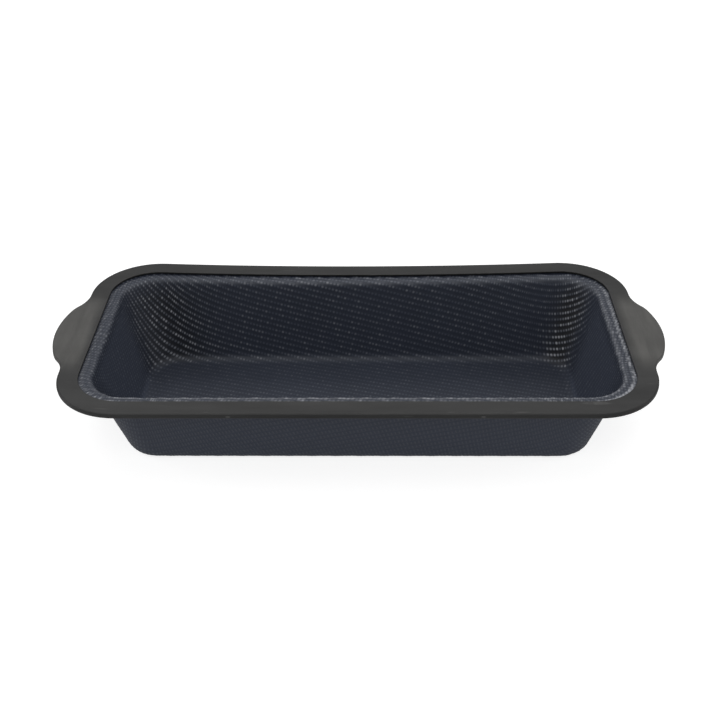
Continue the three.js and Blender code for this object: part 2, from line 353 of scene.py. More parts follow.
def drape_blank():
    """The cloth's upper face, with a vertex on every crossing of two threads, on every gap and
    halfway along every span. Returns its points, quads, thread numbers (whole at a crossing),
    and where each point lies along the floor's edge and out from it."""
    cos_tilt = math.cos(WEAVE_TILT)
    sin_tilt = math.sin(WEAVE_TILT)
    reach_x = FLAT_X + CLOTH_RUN
    reach_y = FLAT_Y + CLOTH_RUN
    step_x = WARP_SPACING / 2
    step_y = WEFT_SPACING / 2
    across = math.ceil((reach_x * cos_tilt + reach_y * sin_tilt) / step_x) + 1
    up = math.ceil((reach_x * sin_tilt + reach_y * cos_tilt) / step_y) + 1
    warp, weft = np.meshgrid(np.arange(-across, across + 1), np.arange(-up, up + 1))
    columns = warp.shape[1]
    warp = warp.ravel()
    weft = weft.ravel()
    blank = np.column_stack([warp * step_x * cos_tilt + weft * step_y * sin_tilt,
                             weft * step_y * cos_tilt - warp * step_x * sin_tilt])
    run, out = find_on_blank(np.abs(blank))
    first = np.arange(len(warp)).reshape(-1, columns)[:-1, :-1].ravel()
    quads = np.column_stack([first, first + 1, first + columns + 1, first + columns])
    quads = quads[out[quads].mean(axis=1) <= CLOTH_RUN]
    used = np.unique(quads)
    corners = np.bincount(quads.ravel(), minlength=len(warp))
    out = np.where(corners < 4, CLOTH_RUN, np.minimum(out, CLOTH_RUN))
    sign = np.where(blank < 0, -1.0, 1.0)
    formed = formed_point(run, out, blank[:, 1] > 0)
    formed[:, :2] *= sign
    floor = np.column_stack([blank, np.full(len(blank), CLOTH_THICKNESS)])
    points = np.where((out > 0)[:, None], formed, floor)
    new_number = np.full(len(warp), -1)
    new_number[used] = np.arange(len(used))
    threads = np.column_stack([warp, weft, 0 * warp])[used] / 2
    return points[used], new_number[quads], threads, run[used], out[used]


def rub_and_sheen_share(points, out):
    """How pale the crowns are painted: bare glass where the coating is worn off beside the rim's
    lip, mixed with painted highlight there and on the bend; most at the front, and least at the
    back and the left end."""
    to_opening = CLOTH_RUN - FLANGE_GRIP - out
    lip = LIP_RUB_AND_SHEEN * np.exp(-((to_opening - LIP_RUB_AND_SHEEN_INSET) / LIP_RUB_AND_SHEEN_WIDTH) ** 2)
    bend = BEND_HIGHLIGHT * np.exp(-((to_opening - BEND_HIGHLIGHT_INSET) / BEND_HIGHLIGHT_WIDTH) ** 2)
    towards_back = np.clip(points[:, 1] / OPENING_HALF_WIDTH, 0, 1)
    towards_front = np.clip(-points[:, 1] / OPENING_HALF_WIDTH, 0, 1)
    towards_left = np.clip(-points[:, 0] / OPENING_HALF_LENGTH, 0, 1)
    reach = (1 - towards_back**3) * (1 - LEFT_END_DIMMER * towards_left**6)
    bend *= 1 + FRONT_BEND_HIGHLIGHT * towards_front**8
    return (lip + bend) * reach * (1 + FRONT_RUB_AND_SHEEN * towards_front**8)


def strain_and_glint_share(points, run, out):
    """Most on the long walls beside the trough's corners: how hard the cloth was drawn, for its
    deeper relief, and where its crowns get painted glints and its colour is darker.
    """
    left = points[:, 0] < 0
    place = CORNER_MIDDLE + np.where(left, LEFT_STRAIN_PLACE, RIGHT_STRAIN_PLACE)
    width = np.where(left, LEFT_STRAIN_WIDTH, RIGHT_STRAIN_WIDTH)
    beside = np.exp(-((run - place) / width) ** 2) * np.where(left, 1.0, RIGHT_STRAIN)
    above_floor = np.clip(out / FILLET_RUN, 0, 1)
    below_top = np.clip((RUN_TO_FLANGE - out) / STRAIN_TOP_FADE, 0, 1)
    return beside * above_floor * below_top * np.where(points[:, 1] > 0, 1.0, FRONT_STRAIN)


def end_wall_share(run, out):
    """1 on the middle of an end wall, fading out towards its corners and its top."""
    from_corner = np.clip((CORNER_MIDDLE - END_WALL_MARGIN - run) / END_WALL_FADE, 0, 1)
    return from_corner * np.clip((RUN_TO_BEND - out) / END_WALL_TOP_FADE, 0, 1)


def filled_share(run, out):
    """How far the coating fills the weave level: most on the floor, less on the end walls."""
    on_floor = np.clip(1 - out / FILLET_RUN, 0, 1)
    return np.maximum(on_floor, END_WALL_FILL * end_wall_share(run, out))


def mesh_from(name, points, faces):
    mesh = bpy.data.meshes.new(name)
    mesh.from_pydata(points.tolist(), [], faces.tolist())
    mesh.validate()
    mesh.update()
    piece = bpy.data.objects.new(name, mesh)
    bpy.context.scene.collection.objects.link(piece)
    return piece


def put_attribute(mesh, name, kind, values):
    attribute = mesh.attributes.new(name, kind, "POINT")
    key = "vector" if kind == "FLOAT_VECTOR" else "value"
    attribute.data.foreach_set(key, np.asarray(values, np.float32).ravel())


def bake_modifiers(piece):
    """Turns a piece and its modifiers into one plain mesh."""
    graph = bpy.context.evaluated_depsgraph_get()
    made = bpy.data.meshes.new_from_object(piece.evaluated_get(graph))
    piece.modifiers.clear()
    piece.data = made


# ---------------------------------------------------------------- node helpers

def add_node(tree, kind, values=None, inputs=None, **settings):
    node = tree.nodes.new(kind)
    for key, value in settings.items():
        setattr(node, key, value)
    for key, value in (values or {}).items():
        node.inputs[key].default_value = value
    for key, source in (inputs or {}).items():
        tree.links.new(source, node.inputs[key])
    return node


def maths(tree, operation, first, second=None, clamp=False):
    """A Math node on sockets or numbers; returns its output."""
    node = tree.nodes.new("ShaderNodeMath")
    node.operation = operation
    node.use_clamp = clamp
    for index, value in enumerate((first, second)):
        if value is None:
            continue
        if isinstance(value, (int, float)):
            node.inputs[index].default_value = value
        else:
            tree.links.new(value, node.inputs[index])
    return node.outputs[0]


def new_group(name, kind, inputs, outputs):
    """An empty node group with named sockets; inputs may carry a default value."""
    tree = bpy.data.node_groups.new(name, kind)
    for label, socket, default in inputs:
        made = tree.interface.new_socket(label, in_out="INPUT", socket_type=socket)
        if default is not None:
            made.default_value = default
    for label, socket in outputs:
        tree.interface.new_socket(label, in_out="OUTPUT", socket_type=socket)
    return tree, tree.nodes.new("NodeGroupInput"), tree.nodes.new("NodeGroupOutput")


# ---------------------------------------------------------------- weave relief

def weave_relief_tree():
    """Geometry nodes: raises the cloth where two threads cross and sinks the gaps between
    threads, most where it was drawn hard, with each thread a little prouder or lower than its
    neighbours."""
    tree, given, result = new_group(
        "weave_relief", "GeometryNodeTree",
        [("Geometry", "NodeSocketGeometry", None), ("Relief", "NodeSocketFloat", 0.0001),
         ("Thread Spread", "NodeSocketFloat", 0.4), ("Seed", "NodeSocketInt", 0),
         ("Cloth", "NodeSocketMaterial", None)],
        [("Geometry", "NodeSocketGeometry")])
    tree.is_modifier = True
    thread = add_node(tree, "GeometryNodeInputNamedAttribute", {"Name": "thread"},
                      data_type="FLOAT_VECTOR")
    number = add_node(tree, "ShaderNodeSeparateXYZ", inputs={0: thread.outputs[0]})
    lift = None
    for index, axis in enumerate(("X", "Y")):
        turn = maths(tree, "MULTIPLY", number.outputs[axis], math.tau)
        crown = maths(tree, "MULTIPLY", maths(tree, "COSINE", turn), 0.5)
        whole = add_node(tree, "FunctionNodeFloatToInt", inputs={0: number.outputs[axis]},
                         rounding_mode="ROUND")
        shift = add_node(tree, "FunctionNodeIntegerMath", {1: index + 1},
                         {0: given.outputs["Seed"]}, operation="ADD")
        chance = add_node(tree, "FunctionNodeRandomValue", {2: -1.0, 3: 1.0},
                          {"ID": whole.outputs[0], "Seed": shift.outputs[0]}, data_type="FLOAT")
        spread = maths(tree, "MULTIPLY", chance.outputs[1], given.outputs["Thread Spread"])
        part = maths(tree, "ADD", crown, spread)
        lift = part if lift is None else maths(tree, "ADD", lift, part)
    strain_and_glint = add_node(tree, "GeometryNodeInputNamedAttribute", {"Name": "strain_and_glint"},
                        data_type="FLOAT")
    stronger = maths(tree, "ADD", strain_and_glint.outputs[0], 1.0)
    lift = maths(tree, "MULTIPLY", lift, stronger)
    lift = maths(tree, "MULTIPLY", lift, given.outputs["Relief"])
    normal = add_node(tree, "GeometryNodeInputNormal")
    offset = add_node(tree, "ShaderNodeVectorMath", inputs={0: normal.outputs[0]},
                      operation="SCALE")
    tree.links.new(lift, offset.inputs["Scale"])
    moved = add_node(tree, "GeometryNodeSetPosition",
                     inputs={"Geometry": given.outputs["Geometry"], "Offset": offset.outputs[0]})
    real = add_node(tree, "GeometryNodeRealizeInstances",
                    inputs={"Geometry": moved.outputs[0]})
    clad = add_node(tree, "GeometryNodeSetMaterial",
                    inputs={"Geometry": real.outputs[0], "Material": given.outputs["Cloth"]})
    tree.links.new(clad.outputs[0], result.inputs[0])
    return tree


def set_inputs(modifier, values):
    sockets = {item.name: item.identifier for item in modifier.node_group.interface.items_tree
               if item.in_out == "INPUT"}
    for label, value in values.items():
        modifier[sockets[label]] = value


def make_cloth_trough(material):
    points, quads, threads, run, out = drape_blank()
    piece = mesh_from("woven_trough", points, quads)
    put_attribute(piece.data, "thread", "FLOAT_VECTOR", threads)
    put_attribute(piece.data, "rub_and_sheen", "FLOAT", rub_and_sheen_share(points, out))
    put_attribute(piece.data, "strain_and_glint", "FLOAT", strain_and_glint_share(points, run, out))
    put_attribute(piece.data, "filled", "FLOAT", filled_share(run, out))
    end_wall = end_wall_share(run, out) * (out > FILLET_RUN / 2)
    put_attribute(piece.data, "end_wall", "FLOAT", end_wall)
    piece.data.materials.append(material)
    weave = piece.modifiers.new("weave", "NODES")
    weave.node_group = weave_relief_tree()
    set_inputs(weave, {"Relief": WEAVE_RELIEF, "Thread Spread": THREAD_SPREAD,
                       "Seed": WEAVE_SEED, "Cloth": material})
    wall = piece.modifiers.new("thickness", "SOLIDIFY")
    wall.thickness = CLOTH_THICKNESS
    wall.offset = -1
    wall.use_even_offset = False
    bake_modifiers(piece)
    # The thickness puts the outer face's vertices after the inner face's.
    outer = np.arange(len(piece.data.vertices)) >= len(points)
    put_attribute(piece.data, "outer", "FLOAT", outer)
    piece.data.shade_smooth()
    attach(piece, "root")
    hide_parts("fabric_trough")


# ---------------------------------------------------------------- silicone rim

def loop_of(quarter_points_for):
    """Mirrors quarter outlines into one closed loop, anticlockwise from the right-hand end's
    middle. quarter_points_for(back) gives a quarter from the end's middle to the side's."""
    back = quarter_points_for(True)
    front = quarter_points_for(False)
    flip_x = np.array([-1, 1])
    flip_y = np.array([1, -1])
    return np.concatenate([
        back[:-1], (back * flip_x)[::-1][:-1],
        (front * flip_x * flip_y)[:-1], (front * flip_y)[::-1][:-1]])


def stations():
    parts = []
    shares = []
    for part, count in ((0, END_STATIONS), (1, CORNER_STATIONS), (2, SIDE_STATIONS)):
        parts.append(np.full(count, part))
        shares.append(np.arange(count) / count)
    parts.append(np.array([2]))
    shares.append(np.array([1.0]))
    return np.concatenate(parts), np.concatenate(shares)


def opening_loop():
    part, share = stations()
    return loop_of(lambda back: quarter_outline(
        part, share, OPENING_HALF_LENGTH, OPENING_HALF_WIDTH, OPENING_RADIUS, BACK_BOW * back))


def rim_edge_loop():
    part, share = stations()
    half_length = OPENING_HALF_LENGTH + RIM_WIDTH
    half_width = OPENING_HALF_WIDTH + RIM_WIDTH
    radius = OPENING_RADIUS + RIM_WIDTH

    def quarter(back):
        plain = quarter_outline(part, share, half_length, half_width, radius, BACK_BOW * back)
        ear = ear_quarter(share, half_length, half_width - radius)
        return np.where((part == 0)[:, None], ear, plain)

    return loop_of(quarter)


def outward(loop):
    """Unit normals of a closed plan outline."""
    along = np.roll(loop, -1, axis=0) - np.roll(loop, 1, axis=0)
    along /= np.linalg.norm(along, axis=1)[:, None]
    return np.column_stack([along[:, 1], -along[:, 0]])


def rounding(radius, steps):
    """Offsets in from a corner (inwards, down or up) along a quarter round, as two columns."""
    angle = QUARTER * np.arange(steps + 1) / steps
    return radius * np.column_stack([1 - np.cos(angle), 1 - np.sin(angle)])


def rim_rings():
    """Every ring of the rim's section, in order round it, as (plan points, height)."""
    inner = opening_loop()
    edge = rim_edge_loop()
    inner_out = outward(inner)
    edge_out = outward(edge)
    rings = []

    def from_opening(distance, height):
        rings.append((inner + inner_out * distance, height))

    def from_edge(distance, height):
        rings.append((edge - edge_out * distance, height))

    for inset, drop in rounding(LIP_ROUNDING, LIP_STEPS):
        from_opening(inset, RIM_TOP - drop)
    top_inner = inner + inner_out * LIP_ROUNDING
    top_edge = edge - edge_out * RIM_ROUNDING
    for row in range(1, TOP_ROWS):
        rings.append((top_inner + (top_edge - top_inner) * row / TOP_ROWS, RIM_TOP))
    for inset, drop in rounding(RIM_ROUNDING, EDGE_STEPS)[::-1]:
        from_edge(inset, RIM_TOP - drop)
    middle = (RIM_TOP + RIM_BOTTOM) / 2
    from_edge(0, middle + 2 * SEAM_HEIGHT)
    from_edge(-SEAM_HEIGHT, middle)
    from_edge(0, middle - 2 * SEAM_HEIGHT)
    for inset, drop in rounding(RIM_ROUNDING, EDGE_STEPS):
        from_edge(inset, RIM_BOTTOM + drop)
    under_inner = inner + inner_out * SLOT_GAP
    for row in range(1, UNDER_ROWS):
        rings.append((top_edge + (under_inner - top_edge) * row / UNDER_ROWS, RIM_BOTTOM))
    slot_low = FLANGE_TOP - CLOTH_THICKNESS - WEAVE_RELIEF * 2 - SLOT_GAP
    slot_high = FLANGE_TOP + WEAVE_RELIEF * 2 + SLOT_GAP
    from_opening(SLOT_GAP, RIM_BOTTOM)
    from_opening(0, RIM_BOTTOM + SLOT_GAP)
    from_opening(SLOT_GAP / 2, slot_low - MOUTH_DROP)
    from_opening(MOUTH_DEPTH, slot_low)
    channel = HOOP_RADIUS + SLOT_GAP
    near = HOOP_FROM_OPENING - channel
    far = HOOP_FROM_OPENING + channel
    channel_low = HOOP_HEIGHT - channel
    channel_high = HOOP_HEIGHT + channel
    for distance, height in ((near, slot_low), (near, channel_low), (far, channel_low),
                             (far, channel_high), (near, channel_high), (near, slot_high)):
        from_opening(distance, height)
    from_opening(SLOT_GAP / 2, slot_high)
    from_opening(0, slot_high + SLOT_GAP / 2)
    return rings


def make_silicone_rim(material):
    rings = rim_rings()
    around = len(rings[0][0])
    points = np.concatenate(
        [np.column_stack([plan, np.full(around, height)]) for plan, height in rings])
    ring, station = np.meshgrid(np.arange(len(rings)), np.arange(around), indexing="ij")
    next_ring = (ring + 1) % len(rings)
    next_station = (station + 1) % around
    quads = np.stack([ring * around + station, next_ring * around + station,
                      next_ring * around + next_station, ring * around + next_station], -1)
    edge = np.repeat(rim_edge_share(rings), around)
    ear_sheen = ear_sheen_share(points)
    points[:, 2] += rim_top_shape(points)
    piece = mesh_from("rim_moulding", points, quads.reshape(-1, 4))
    put_attribute(piece.data, "edge", "FLOAT", edge)
    put_attribute(piece.data, "ear_sheen", "FLOAT", ear_sheen)
    piece.data.materials.append(material)
    piece.data.shade_smooth()
    piece.data.set_sharp_from_angle(angle=SHARP_ANGLE)
    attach(piece, "root")
    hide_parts("silicone_rim")


def rim_edge_share(rings):
    """1 on the rings of the rim's rounded upper outer edge and 0 elsewhere."""
    rounded = np.array([RIM_TOP - RIM_ROUNDING < height < RIM_TOP for _, height in rings])
    rounded[:LIP_STEPS + TOP_ROWS] = False
    return rounded.astype(float)


def smooth(share):
    """Eases a share from 0 to 1, level at both ends."""
    return share * share * (3 - 2 * share)


def ear_sheen_share(points):
    """1 where the rim is painted paler as a sheen: an ear and the rim beside it."""
    at_end = np.clip((np.abs(points[:, 0]) - EAR_SHEEN_START) / EAR_SHEEN_FADE_IN, 0, 1)
    across = np.clip((EAR_SHEEN_HALF_WIDTH - np.abs(points[:, 1])) / EAR_SHEEN_FADE_OUT, 0, 1)
    return smooth(at_end) * smooth(across)


def rim_top_shape(points):
    """The faint ridge where an ear joins the rim's end, and the ear's slight fall beyond it."""
    side_x = OPENING_HALF_LENGTH + RIM_WIDTH
    beyond = np.abs(points[:, 0]) - side_x
    on_ear = np.clip(1 - (np.abs(points[:, 1]) / RIDGE_HALF_LENGTH) ** 4, 0, 1)
    ridge = RIDGE_HEIGHT * np.exp(-((beyond + RIDGE_WIDTH) / RIDGE_WIDTH) ** 2)
    top = points[:, 2] > RIM_TOP - TOP_TOLERANCE
    fall = -np.maximum(beyond, 0) * math.tan(EAR_FALL)
    return on_ear * (top * ridge + fall)


# ---------------------------------------------------------------- wire hoop

def hoop_tree():
    """Geometry nodes: a round wire swept along the hoop's path, swollen at the butt weld."""
    tree, given, result = new_group(
        "hoop_wire", "GeometryNodeTree",
        [("Geometry", "NodeSocketGeometry", None), ("Wire Radius", "NodeSocketFloat", 0.0007),
         ("Weld Swell", "NodeSocketFloat", 0.12), ("Weld Length", "NodeSocketFloat", 0.003),
         ("Sides", "NodeSocketInt", 16), ("Steel", "NodeSocketMaterial", None)],
        [("Geometry", "NodeSocketGeometry")])
    tree.is_modifier = True
    path = add_node(tree, "GeometryNodeMeshToCurve", inputs={0: given.outputs["Geometry"]})
    place = add_node(tree, "GeometryNodeSplineParameter")
    length = maths(tree, "DIVIDE", place.outputs["Length"], given.outputs["Weld Length"])
    fall = maths(tree, "MULTIPLY", maths(tree, "MULTIPLY", length, length), -1.0)
    swell = maths(tree, "POWER", EULER, fall)
    swell = maths(tree, "ADD", maths(tree, "MULTIPLY", swell, given.outputs["Weld Swell"]), 1.0)
    section = add_node(tree, "GeometryNodeCurvePrimitiveCircle",
                       inputs={"Resolution": given.outputs["Sides"],
                               "Radius": given.outputs["Wire Radius"]})
    swept = add_node(tree, "GeometryNodeCurveToMesh",
                     inputs={"Curve": path.outputs[0], "Profile Curve": section.outputs[0],
                             "Scale": swell})
    real = add_node(tree, "GeometryNodeRealizeInstances", inputs={0: swept.outputs[0]})
    clad = add_node(tree, "GeometryNodeSetMaterial",
                    inputs={"Geometry": real.outputs[0], "Material": given.outputs["Steel"]})
    tree.links.new(clad.outputs[0], result.inputs[0])
    return tree


def make_wire_hoop(material):
    loop = opening_loop()
    plan = loop + outward(loop) * HOOP_FROM_OPENING
    count = len(plan)
    mesh = bpy.data.meshes.new("hoop_path")
    edges = [(i, (i + 1) % count) for i in range(count)]
    mesh.from_pydata([(x, y, HOOP_HEIGHT) for x, y in plan.tolist()], edges, [])
    piece = bpy.data.objects.new("hoop", mesh)
    bpy.context.scene.collection.objects.link(piece)
    wire = piece.modifiers.new("wire", "NODES")
    wire.node_group = hoop_tree()
    set_inputs(wire, {"Wire Radius": HOOP_RADIUS * WIRE_SHARE, "Weld Swell": WELD_SWELL,
                      "Steel": material})
    bake_modifiers(piece)
    piece.data.shade_smooth()
    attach(piece, "root")
    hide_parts("wire_hoop")


# ---------------------------------------------------------------- materials

FABRIC_DARK = (0.0180, 0.0225, 0.0345, 1)
FABRIC_LIGHT = (0.0280, 0.0340, 0.0520, 1)
# darker, beside the trough's corners
FABRIC_BESIDE_CORNERS = (0.0070, 0.0080, 0.0110, 1)
# painted light: paler outside and on the end walls
FABRIC_PAINTED_LIGHT = (0.0520, 0.0620, 0.0910, 1)
# painted highlight on the crowns' tops
FABRIC_CROWN_HIGHLIGHT = (0.0640, 0.0740, 0.0990, 1)
# bare glass, and the colour of the painted highlights and glints on the crowns
FABRIC_BARE_AND_SHEEN = (0.34, 0.35, 0.38, 1)
SILICONE_DARK = (0.0060, 0.0060, 0.0060, 1)
SILICONE_LIGHT = (0.0150, 0.0150, 0.0147, 1)
# painted sheen on the ears
SILICONE_EAR_SHEEN = (0.082, 0.080, 0.075, 1)
SILICONE_WORN = (0.060, 0.060, 0.060, 1)
SILICONE_MARKED = (0.11, 0.108, 0.105, 1)
STEEL_DARK = (0.42, 0.43, 0.44, 1)
STEEL_LIGHT = (0.58, 0.59, 0.60, 1)

CROWN_SHARPNESS = 7.0             # how narrow the tops of the threads are
UNDER_SHARE = 0.85                # how much of a crown is left where the other thread is on top
CUSHION_ALONG = 0.45              # the coated weave's height: two soft domes and the crown
CUSHION_ACROSS = 0.20
CROWN_HEIGHT = 0.35
FABRIC_BUMP = 0.24 * MM
FILLED_FLATTENS = 0.6             # how far a filled weave loses its relief

PIN_PLACE = (61 * MM, rim_low.y + 0.3 * MM, (RIM_TOP + RIM_BOTTOM) / 2 - 0.2 * MM)
PIN_SIZE = (1.5 * MM, 0.8 * MM, 0.7 * MM)
# a longer pale streak on the rim's top, near its right front corner
STREAK_PLACE = (116 * MM, rim_low.y + 8.8 * MM, RIM_TOP)
STREAK_SIZE = (8 * MM, 1.3 * MM, 2 * MM)
SILICONE_BUMP = 0.05 * MM
STEEL_BUMP = 0.02 * MM


def new_material(name, **values):
    material = bpy.data.materials.new(name)
    material.use_nodes = True
    tree = material.node_tree
    tree.nodes.clear()
    shader = tree.nodes.new("ShaderNodeBsdfPrincipled")
    for label, value in values.items():
        shader.inputs[label.replace("_", " ")].default_value = value
    output = tree.nodes.new("ShaderNodeOutputMaterial")
    tree.links.new(shader.outputs[0], output.inputs[0])
    return material, tree, shader


def weave_group():
    """Plain weave from thread numbers: Height of the coated threads; Crown, the narrow tops that
    run along the rows, lower where the crossing thread is the upper one; and Chance, a number
    of its own for each crossing."""
    tree, given, result = new_group(
        "plain_weave", "ShaderNodeTree",
        [("Thread", "NodeSocketVector", None),
         ("Crown Sharpness", "NodeSocketFloat", CROWN_SHARPNESS),
         ("Under Share", "NodeSocketFloat", UNDER_SHARE)],
        [("Height", "NodeSocketFloat"), ("Crown", "NodeSocketFloat"),
         ("Chance", "NodeSocketFloat")])
    half = add_node(tree, "ShaderNodeVectorMath", {1: (0.5, 0.5, 0.0)},
                    {0: given.outputs["Thread"]}, operation="ADD")
    whole = add_node(tree, "ShaderNodeVectorMath", inputs={0: half.outputs[0]},
                     operation="FLOOR")
    within = add_node(tree, "ShaderNodeVectorMath", inputs={0: half.outputs[0]},
                      operation="FRACTION")
    cell = add_node(tree, "ShaderNodeSeparateXYZ", inputs={0: whole.outputs[0]})
    spot = add_node(tree, "ShaderNodeSeparateXYZ", inputs={0: within.outputs[0]})
    domes = []
    for axis in ("X", "Y"):
        centred = maths(tree, "SUBTRACT", maths(tree, "MULTIPLY", spot.outputs[axis], 2.0), 1.0)
        domes.append(maths(tree, "SUBTRACT", 1.0, maths(tree, "MULTIPLY", centred, centred)))
    crossing = maths(tree, "ADD", cell.outputs["X"], cell.outputs["Y"])
    over = maths(tree, "FLOORED_MODULO", crossing, 2.0)
    share = add_node(tree, "ShaderNodeMix",
                     {3: 1.0}, {0: over, 2: given.outputs["Under Share"]}, data_type="FLOAT")
    ridge = maths(tree, "POWER", domes[1], given.outputs["Crown Sharpness"])
    crown = maths(tree, "MULTIPLY", maths(tree, "MULTIPLY", ridge, domes[0]), share.outputs[0])
    crown = maths(tree, "MULTIPLY", crown, domes[0])
    along = maths(tree, "MULTIPLY", maths(tree, "SQRT", domes[0]), CUSHION_ALONG)
    cushion = maths(tree, "ADD", along, maths(tree, "MULTIPLY", domes[1], CUSHION_ACROSS))
    height = maths(tree, "ADD", cushion, maths(tree, "MULTIPLY", crown, CROWN_HEIGHT))
    chance = add_node(tree, "ShaderNodeTexWhiteNoise", inputs={0: whole.outputs[0]},
                      noise_dimensions="3D")
    tree.links.new(height, result.inputs["Height"])
    tree.links.new(crown, result.inputs["Crown"])
    tree.links.new(chance.outputs["Value"], result.inputs["Chance"])
    return tree


def mottle_group():
    """Soft uneven patches and fine grain, for a cured silicone skin."""
    tree, given, result = new_group(
        "silicone_skin", "ShaderNodeTree",
        [("Vector", "NodeSocketVector", None), ("Patch Scale", "NodeSocketFloat", 30.0),
         ("Grain Scale", "NodeSocketFloat", 1500.0)],
        [("Patches", "NodeSocketFloat"), ("Grain", "NodeSocketFloat")])
    patches = add_node(tree, "ShaderNodeTexNoise", {"Detail": 4.0, "Roughness": 0.6},
                       {"Vector": given.outputs["Vector"],
                        "Scale": given.outputs["Patch Scale"]})
    grain = add_node(tree, "ShaderNodeTexNoise", {"Detail": 2.0, "Roughness": 0.5},
                     {"Vector": given.outputs["Vector"],
                      "Scale": given.outputs["Grain Scale"]})
    tree.links.new(patches.outputs[0], result.inputs["Patches"])
    tree.links.new(grain.outputs[0], result.inputs["Grain"])
    return tree


def ramp(tree, source, low, high, out_low=0.0, out_high=1.0):
    node = add_node(tree, "ShaderNodeMapRange",
                    {"From Min": low, "From Max": high, "To Min": out_low, "To Max": out_high},
                    {"Value": source})
    return node.outputs[0]


def add_bump(tree, shader, height, strength, distance):
    bump = add_node(tree, "ShaderNodeBump", {"Strength": strength, "Distance": distance},
                    {"Height": height})
    tree.links.new(bump.outputs[0], shader.inputs["Normal"])


def blend_colour(tree, factor, first, second):
    node = tree.nodes.new("ShaderNodeMix")
    node.data_type = "RGBA"
    node.blend_type = "MIX"
    for index, value in ((6, first), (7, second)):
        if isinstance(value, tuple):
            node.inputs[index].default_value = value
        else:
            tree.links.new(value, node.inputs[index])
    tree.links.new(factor, node.inputs[0])
    return node.outputs[2]


def painted(tree, name, output="Fac"):
    """The value that was put on the mesh under this name."""
    return add_node(tree, "ShaderNodeAttribute", attribute_name=name).outputs[output]


def coated_fabric(weave, skin):
    """Navy coated weave: painted glints and a painted highlight on the inner face's crowns, bare
    glass where the coating is worn, mixed with painted highlight, darker beside the corners, and
    painted light making it paler outside and on the end walls."""
    material, tree, shader = new_material("coated_fabric", Specular_IOR_Level=0.38)
    place = tree.nodes.new("ShaderNodeTexCoord")
    thread = painted(tree, "thread", "Vector")
    rub_and_sheen, strain_and_glint, outer, filled, end_wall = [
        painted(tree, name) for name in ("rub_and_sheen", "strain_and_glint", "outer", "filled", "end_wall")]
    inner = maths(tree, "SUBTRACT", 1.0, outer)
    proud = maths(tree, "SUBTRACT", 1.0, maths(tree, "MULTIPLY", filled, FILLED_FLATTENS))
    number = add_node(tree, "ShaderNodeSeparateXYZ", inputs={0: thread})
    turned = add_node(tree, "ShaderNodeCombineXYZ", inputs={"X": number.outputs["Y"],
                                                            "Y": number.outputs["X"]})
    facing = add_node(tree, "ShaderNodeMix", data_type="VECTOR",
                      inputs={0: outer, 4: thread, 5: turned.outputs[0]})
    woven = add_node(tree, "ShaderNodeGroup", node_tree=weave,
                     inputs={"Thread": facing.outputs[1]})
    crown = woven.outputs["Crown"]
    chance = woven.outputs["Chance"]
    cured = add_node(tree, "ShaderNodeGroup", {"Patch Scale": 22.0, "Grain Scale": 2600.0},
                     {"Vector": place.outputs["Object"]}, node_tree=skin)
    # pale crowns: worn bare glass, mixed with painted highlight on the lip, the bend and the
    # front
    bare = maths(tree, "MULTIPLY", rub_and_sheen, ramp(tree, chance, 0, 1, 0.6, 2.0))
    fleck = maths(tree, "MULTIPLY", bare, ramp(tree, woven.outputs["Height"], 0, 1, 0.2, 1.0))
    # painted glints: pale crown tops standing in for highlights, a few at random and more beside
    # the corners
    glint = maths(tree, "MULTIPLY", maths(tree, "POWER", chance, 3.0), 0.34)
    dashes = maths(tree, "MULTIPLY", strain_and_glint, ramp(tree, chance, 0.1, 1.0, 0.1, 0.9))
    glint = maths(tree, "MULTIPLY", maths(tree, "ADD", glint, dashes), crown)
    glint = maths(tree, "MULTIPLY", glint, maths(tree, "MULTIPLY", inner, proud))
    fleck = maths(tree, "ADD", fleck, glint, clamp=True)
    deep = blend_colour(tree, cured.outputs["Patches"], FABRIC_DARK, FABRIC_LIGHT)
    # darker beside the corners, most at the back
    deep = blend_colour(tree, maths(tree, "MULTIPLY", strain_and_glint, 0.8), deep, FABRIC_BESIDE_CORNERS)
    # painted light: the outer face and the end walls made paler
    pale = maths(tree, "MAXIMUM", maths(tree, "MULTIPLY", outer, 0.65),
                 maths(tree, "MULTIPLY", end_wall, 0.45))
    deep = blend_colour(tree, pale, deep, FABRIC_PAINTED_LIGHT)
    # painted highlight: the crowns' tops made paler
    crown_highlighted = blend_colour(tree, maths(tree, "MULTIPLY", crown, proud), deep, FABRIC_CROWN_HIGHLIGHT)
    colour = blend_colour(tree, fleck, crown_highlighted, FABRIC_BARE_AND_SHEEN)
    tree.links.new(colour, shader.inputs["Base Color"])
    rough = maths(tree, "ADD", ramp(tree, crown, 0.0, 1.0, 0.50, 0.30),
                  maths(tree, "MULTIPLY", filled, 0.14))
    tree.links.new(rough, shader.inputs["Roughness"])
    relief = maths(tree, "ADD", maths(tree, "MULTIPLY", woven.outputs["Height"], proud),
                   maths(tree, "MULTIPLY", cured.outputs["Grain"], 0.10))
    add_bump(tree, shader, relief, 1.0, FABRIC_BUMP)
    return material


